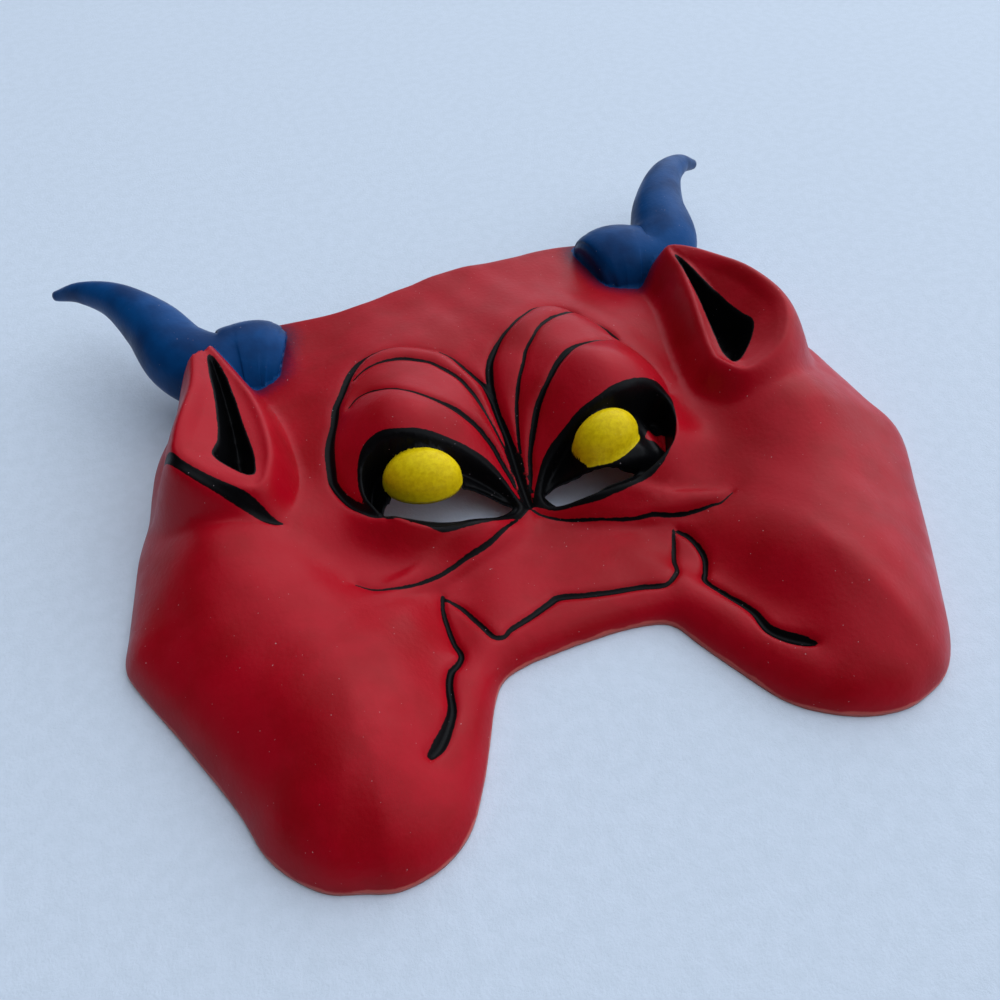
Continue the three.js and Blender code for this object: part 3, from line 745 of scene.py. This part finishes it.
topPoints, topFaces = triangulated(topPoints, loops)
lowerPoints, lowerFaces = triangulated(lowerPoints, loops)
insideHeights = underGrid()
topZ = topHeight(topPoints[:, 0], topPoints[:, 1])
fromCut = np.full(len(topPoints), 5.0)
for loop in loops:
    fromCut = np.minimum(fromCut, nearest(topPoints[:, 0], topPoints[:, 1], loop, True, 5)[0])
topZ -= mould["cutEdgeRounding"] * (1 - ease(0, 1.0, fromCut))
lowerZ = sampleGrid(lowerPoints[:, 0], lowerPoints[:, 1], insideHeights)
upperSkin = np.column_stack([topPoints, topZ])
lowerSkin = np.column_stack([lowerPoints, lowerZ])
lowerSkin[:edgeCount, 2] = np.minimum(lowerSkin[:edgeCount, 2], upperSkin[:edgeCount, 2] - 1)
print("skin heights:", round(float(topZ.min()), 2), "to", round(float(topZ.max()), 2))

mask = closedBetween("devil_half_mask", upperSkin, topFaces, lowerSkin, lowerFaces)
deepFloor = lowerSkin * (1, 1, 0) - (0, 0, horn["faceHollowDepth"])
hollow = closedBetween("face_hollow", lowerSkin, lowerFaces, deepFloor, lowerFaces)
hornPaths = []
hornSkins = []
for line in hornLines:
    tube, path, radii = hornTube("horn", line, 0, 0, 1)
    hornPaths.append((path, radii))
    hornSkins.append(BVHTree.FromPolygons([vertex.co[:] for vertex in tube.data.vertices],
                                          [face.vertices[:] for face in tube.data.polygons]))
    combine(tube, hollow, "DIFFERENCE")
    combine(mask, tube, "UNION")
    bpy.data.objects.remove(tube)
borePaths = []
for line in hornLines:
    bore, path, radii = hornTube("bore", line, mould["wall"], horn["hollowStart"], horn["hollowEnd"])
    borePaths.append((path, radii))
    combine(mask, bore, "DIFFERENCE")
    bpy.data.objects.remove(bore)
bpy.data.objects.remove(hollow)
print("moulding:", len(mask.data.vertices), "points", len(mask.data.polygons), "faces")


# Distance from points in space to a horn's outside, negative within it; its root is cut off flat.
def hornDistance(points, path, radii, spare=2.5):
    best = np.full(len(points), 1e3)
    for k in range(len(path) - 1):
        step = path[k + 1] - path[k]
        long = np.linalg.norm(step)
        along = (points - path[k]) @ step / long
        share = np.clip(along / long, 0, 1)
        gap = np.linalg.norm(points - path[k] - share[:, None] * step, axis=1)
        gap -= radii[k] + share * (radii[k + 1] - radii[k])
        near = (along > -spare) & ((along < long + spare) | (k == len(path) - 2))
        best = np.where(near, np.minimum(best, gap), best)
    start = (path[1] - path[0]) / np.linalg.norm(path[1] - path[0])
    before = (path[0] - points) @ start
    beside = np.linalg.norm(points - path[0] + before[:, None] * start, axis=1) - radii[0]
    return np.where(before > 0, np.hypot(np.maximum(beside, 0), before), best)


# How far each paint reaches past what it follows, and how near counts as touching, in millimetres.
brush = {
    "lineSpread": 0.12,
    "earSlotSpread": 0.45,
    "none": -6.0,
    "reach": 8,
    "ballShare": 1.05,
    "ballTop": 0.6,
    "ballFoot": 2.0,
    "socketMargin": 0.9,
    "boreTouch": 0.6,
    "hornTouch": 0.05,
    "hornReach": 22,
}

mesh = mask.data
coordinates = np.empty(3 * len(mesh.vertices))
mesh.vertices.foreach_get("co", coordinates)
places = coordinates.reshape(-1, 3)
hornGap = np.minimum(*[hornDistance(places, path, radii) for path, radii in hornPaths])
boreGap = np.minimum(*[hornDistance(places, path, radii) for path, radii in borePaths])
for index in np.flatnonzero(hornGap < brush["hornReach"]):
    gap = min(skin.find_nearest(places[index])[3] for skin in hornSkins)
    hornGap[index] = -gap if gap > 0.5 and hornGap[index] < -0.3 else gap

placeX = places[:, 0]
placeY = places[:, 1]
topThere = topHeight(placeX, placeY)
underThere = sampleGrid(placeX, placeY, insideHeights)
onSkin = hornGap > brush["hornTouch"]
shareUp = (places[:, 2] - underThere) / np.maximum(topThere - underThere, 0.5)
inBore = (boreGap < brush["boreTouch"]) & (hornGap < -0.5)
# Unpainted vinyl of the cut walls and the inside; its pale colour also paints the highlight along the cut
# edge.
rawAndHighlight = np.where(onSkin, np.clip(1.25 - 1.6 * shareUp, 0, 1), np.where(inBore, 0.9, 0))
for loop in eyeSlotLoops:
    rawAndHighlight[nearest(placeX, placeY, loop, True, 0.1)[0] < 0.02] = 0.2

blackGap = np.full(len(places), brush["none"])
for line, _, _ in lineCurves:
    distance, halfWidth = nearest(placeX, placeY, line, False, brush["reach"])
    painted = halfWidth + brush["lineSpread"] - distance
    blackGap = np.maximum(blackGap, np.where(halfWidth > 0.02, painted, brush["none"]))
for loop in eyeBlackLoops:
    blackGap = np.maximum(blackGap, depthInside(placeX, placeY, loop, brush["reach"]))
for loop in earSlotLoops:
    spread = depthInside(placeX, placeY, loop, brush["reach"]) + brush["earSlotSpread"]
    blackGap = np.maximum(blackGap, spread)
blackGap = np.minimum(blackGap, -depthInside(placeX, placeY, barePatchLoop, brush["reach"]))
blackGap = np.clip(blackGap, brush["none"], -brush["none"])

eyeGap = np.full(len(places), brush["none"])
for ball in eyeballs:
    across = (brush["ballShare"] - eyeReach(placeX, placeY, ball)) * 0.5 * (ball[2] + ball[3])
    height = ball[5] + ball[6] + brush["ballTop"] - places[:, 2]
    foot = places[:, 2] - ball[5] + brush["ballFoot"]
    eyeGap = np.maximum(eyeGap, np.minimum(np.minimum(across, foot), 0.5 * height))
for loop in socketLoops:
    sameSide = placeX * loop[0, 0] > 0
    inSocket = depthInside(placeX, placeY, loop, brush["reach"])
    eyeGap = np.where(sameSide, np.minimum(eyeGap, inSocket - brush["socketMargin"]), eyeGap)

edgeGap = np.where(onSkin, nearest(placeX, placeY, outline, True, 6)[0], 6)
paintGaps = {
    "blackGap": blackGap,
    "eyeGap": eyeGap,
    "edgeGap": edgeGap,
    "hornGap": np.clip(hornGap, -6, 40),
    "rawVinylAndHighlight": rawAndHighlight,
}
for name, values in paintGaps.items():
    attribute = mesh.attributes.new(name, "FLOAT", "POINT")
    attribute.data.foreach_set("value", values.astype(np.float32))

planShift = cadLow.y * 1000 - outline[:, 1].min()
placed = (places + (0, planShift, 0)) * 0.001
mesh.vertices.foreach_set("co", placed.ravel())
mesh.polygons.foreach_set("use_smooth", [True] * len(mesh.polygons))
mesh.update()
print("paint attributes done")


class Shader:
    def __init__(self, name):
        self.material = bpy.data.materials.new(name)
        self.material.use_nodes = True
        self.tree = self.material.node_tree
        self.surface = self.tree.nodes["Principled BSDF"]

    def put(self, value, socket):
        if hasattr(value, "is_output"):
            self.tree.links.new(value, socket)
        else:
            socket.default_value = value

    def attribute(self, name):
        node = self.tree.nodes.new("ShaderNodeAttribute")
        node.attribute_name = name
        return node.outputs["Fac"]

    def noise(self, scale, detail=3, roughness=0.5):
        node = self.tree.nodes.new("ShaderNodeTexNoise")
        coordinates = self.tree.nodes.new("ShaderNodeTexCoord")
        self.put(coordinates.outputs["Object"], node.inputs["Vector"])
        node.inputs["Scale"].default_value = scale
        node.inputs["Detail"].default_value = detail
        node.inputs["Roughness"].default_value = roughness
        return node.outputs["Fac"]

    def math(self, operation, a, b):
        node = self.tree.nodes.new("ShaderNodeMath")
        node.operation = operation
        self.put(a, node.inputs[0])
        self.put(b, node.inputs[1])
        return node.outputs[0]

    def between(self, value, low, high, fromValue=0.0, toValue=1.0):
        node = self.tree.nodes.new("ShaderNodeMapRange")
        node.interpolation_type = "SMOOTHSTEP"
        self.put(value, node.inputs["Value"])
        node.inputs["From Min"].default_value = low
        node.inputs["From Max"].default_value = high
        node.inputs["To Min"].default_value = fromValue
        node.inputs["To Max"].default_value = toValue
        return node.outputs["Result"]

    def mix(self, share, a, b):
        node = self.tree.nodes.new("ShaderNodeMix")
        node.data_type = "RGBA"
        self.put(share, node.inputs["Factor"])
        self.put(a, node.inputs[6])
        self.put(b, node.inputs[7])
        return node.outputs[2]

    # Noise about zero, as wide as the given size.
    def wobble(self, scale, detail, size):
        return self.math("MULTIPLY", self.math("SUBTRACT", self.noise(scale, detail), 0.5), size)

    def bump(self, height, strength, distance):
        node = self.tree.nodes.new("ShaderNodeBump")
        node.inputs["Strength"].default_value = strength
        node.inputs["Distance"].default_value = distance
        self.put(height, node.inputs["Height"])
        return node.outputs["Normal"]


paint = {
    "red": (0.40, 0.0012, 0.010, 1),
    "redDeep": (0.33, 0.0008, 0.006, 1),
    "black": (0.0025, 0.0025, 0.003, 1),
    "yellow": (0.82, 0.62, 0.006, 1),
    "yellowDeep": (0.56, 0.36, 0.0, 1),
    "blue": (0.002, 0.060, 0.21, 1),
    "blueDeep": (0.001, 0.028, 0.11, 1),
    # Dark blue overspray round each horn root, darkened further as painted shade in the crease under the
    # horn.
    "oversprayAndShade": (0.003, 0.012, 0.045, 1),
    "lint": (0.62, 0.50, 0.52, 1),
    # Unpainted vinyl, made pale so that the cut edges carry a painted highlight.
    "rawVinylAndHighlight": (0.62, 0.13, 0.10, 1),
    "oversprayAndShadeReach": 8.0,
    "oversprayAndShadeShare": 0.75,
    "cutShare": 0.7,
    "lintShare": 0.55,
    "vinylRoughness": 0.36,
    "gloss": 0.145,
    "blackDulling": 0.45,
    "hornDulling": 0.45,
}


def paintedVinyl():
    s = Shader("painted_vinyl")
    red = s.mix(s.between(s.noise(45, 5, 0.6), 0.38, 0.66), paint["red"], paint["redDeep"])
    ragged = s.math("ADD", s.wobble(900, 3, 0.3), s.wobble(260, 3, 0.4))
    hornGap = s.attribute("hornGap")
    speckled = s.math("ADD", hornGap, s.wobble(1500, 2, 5.0))
    # Overspray speckled onto the red near each horn; its dark colour is also painted shade in the crease
    # there.
    oversprayAndShade = s.between(speckled, paint["oversprayAndShadeReach"], -1.0, 0.0, paint["oversprayAndShadeShare"])
    blue = s.mix(s.between(s.noise(60, 3), 0.35, 0.7), paint["blue"], paint["blueDeep"])
    colour = s.mix(oversprayAndShade, red, paint["oversprayAndShade"])
    colour = s.mix(s.between(s.math("ADD", hornGap, ragged), 1.1, 0.5), colour, blue)
    blackShare = s.between(s.math("ADD", s.attribute("blackGap"), ragged), -0.1, 0.06)
    colour = s.mix(blackShare, colour, paint["black"])
    mottling = s.between(s.noise(620, 5, 0.7), 0.34, 0.7, 0.0, 0.6)
    yellow = s.mix(mottling, paint["yellow"], paint["yellowDeep"])
    eyeShare = s.between(s.math("ADD", s.attribute("eyeGap"), ragged), -0.1, 0.1)
    colour = s.mix(eyeShare, colour, yellow)
    # Pale unpainted vinyl on the cut walls and inside, which is partly a painted highlight on the cut
    # edges.
    bareAndHighlight = s.between(s.attribute("rawVinylAndHighlight"), 0.35, 0.5)
    rawAndHighlightShare = s.math("MULTIPLY", bareAndHighlight, s.math("SUBTRACT", 1.0, eyeShare))
    # A thin pale line along the outline: the unpainted cut edge with a painted highlight on it.
    cut = s.math("ADD", s.attribute("edgeGap"), s.wobble(160, 4, 0.9))
    colour = s.mix(s.between(cut, 0.3, 0.05, 0.0, paint["cutShare"]), colour, paint["rawVinylAndHighlight"])
    colour = s.mix(rawAndHighlightShare, colour, paint["rawVinylAndHighlight"])
    specks = s.between(s.noise(1300, 1), 0.785, 0.82, 0.0, paint["lintShare"])
    colour = s.mix(specks, colour, paint["lint"])
    s.put(colour, s.surface.inputs["Base Color"])
    hornShare = s.between(hornGap, 0.5, 0.1)
    dull = s.math("ADD", s.math("MULTIPLY", blackShare, paint["blackDulling"]),
                  s.math("MULTIPLY", hornShare, paint["hornDulling"]))
    gloss = s.math("MULTIPLY", s.math("SUBTRACT", 1.0, dull), paint["gloss"])
    s.put(gloss, s.surface.inputs["Specular IOR Level"])
    low = paint["vinylRoughness"] - 0.05
    s.put(s.between(s.noise(120, 3), 0.3, 0.7, low, low + 0.1), s.surface.inputs["Roughness"])
    s.put(s.bump(s.noise(700, 3), 0.2, 0.0004), s.surface.inputs["Normal"])
    return s.material


mesh.materials.clear()
mesh.materials.append(paintedVinyl())
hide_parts("mask_shell")
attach(mask, "root")
print("mask dressed")

studio = {
    "felt": (0.615, 0.70, 0.79, 1),
    "feltPale": (0.64, 0.725, 0.82, 1),
    "feltSize": 4.0,
    "skyBright": (1.34, 1.45, 1.63, 1),
    "skyDark": (0.07, 0.065, 0.065, 1),
    "skyMiddle": (0.70, 0.20, 0.68),
    "skySpan": (0.15, 0.78),
    "keyPower": 2.5,
    "keyPlace": (0.85, 0.5, 0.95),
    "keySize": 0.9,
}


def feltFloor():
    s = Shader("pale_felt")
    blotch = s.between(s.noise(240, 4), 0.35, 0.65)
    s.put(s.mix(blotch, studio["felt"], studio["feltPale"]), s.surface.inputs["Base Color"])
    s.surface.inputs["Roughness"].default_value = 0.95
    s.put(s.bump(s.noise(900, 5, 0.7), 0.35, 0.0005), s.surface.inputs["Normal"])
    half = studio["feltSize"] / 2
    mesh = bpy.data.meshes.new("felt_floor")
    corners = [(-half, -half, 0), (half, -half, 0), (half, half, 0), (-half, half, 0)]
    mesh.from_pydata(corners, [], [(0, 1, 2, 3)])
    mesh.materials.append(s.material)
    floor = bpy.data.objects.new("felt_floor", mesh)
    bpy.context.scene.collection.objects.link(floor)


# A sky that is bright overhead and beyond the forehead, and dim behind the camera.
def softLight():
    world = bpy.data.worlds.new("soft_sky")
    world.use_nodes = True
    bpy.context.scene.world = world
    tree = world.node_tree
    direction = tree.nodes.new("ShaderNodeTexCoord")
    towards = tree.nodes.new("ShaderNodeVectorMath")
    towards.operation = "DOT_PRODUCT"
    tree.links.new(direction.outputs["Object"], towards.inputs[0])
    towards.inputs[1].default_value = Vector(studio["skyMiddle"]).normalized()
    share = tree.nodes.new("ShaderNodeMapRange")
    share.interpolation_type = "SMOOTHSTEP"
    share.inputs["From Min"].default_value, share.inputs["From Max"].default_value = studio["skySpan"]
    tree.links.new(towards.outputs["Value"], share.inputs["Value"])
    blend = tree.nodes.new("ShaderNodeMix")
    blend.data_type = "RGBA"
    blend.inputs[6].default_value = studio["skyDark"]
    blend.inputs[7].default_value = studio["skyBright"]
    tree.links.new(share.outputs["Result"], blend.inputs["Factor"])
    tree.links.new(blend.outputs[2], tree.nodes["Background"].inputs["Color"])
    lamp = bpy.data.lights.new("window_light", "AREA")
    lamp.energy = studio["keyPower"]
    lamp.size = studio["keySize"]
    window = bpy.data.objects.new("window_light", lamp)
    window.location = studio["keyPlace"]
    window.rotation_euler = (-Vector(studio["keyPlace"])).to_track_quat("-Z", "Y").to_euler()
    bpy.context.scene.collection.objects.link(window)


# The photograph's place, from the mask: millimetres, with the picture's right, up and back axes.
camera = {
    "place": (-80.6, -219.37, 237.0),
    "right": (0.93928, -0.34314, 0.0),
    "up": (0.25310, 0.69272, 0.6753),
    "back": (-0.23172, -0.63430, 0.7375),
    "lens": 36.0,
}


def photoCamera():
    data = bpy.data.cameras.new("photo_camera")
    data.lens = camera["lens"]
    data.sensor_width = 36
    data.clip_start = 0.01
    view = bpy.data.objects.new("photo_camera", data)
    turn = Matrix((camera["right"], camera["up"], camera["back"])).transposed().to_4x4()
    view.matrix_world = Matrix.Translation(Vector(camera["place"]) * 0.001) @ turn
    bpy.context.scene.collection.objects.link(view)
    bpy.context.scene.camera = view


feltFloor()
softLight()
photoCamera()
bpy.context.scene.view_settings.view_transform = "Standard"
print("stage ready")
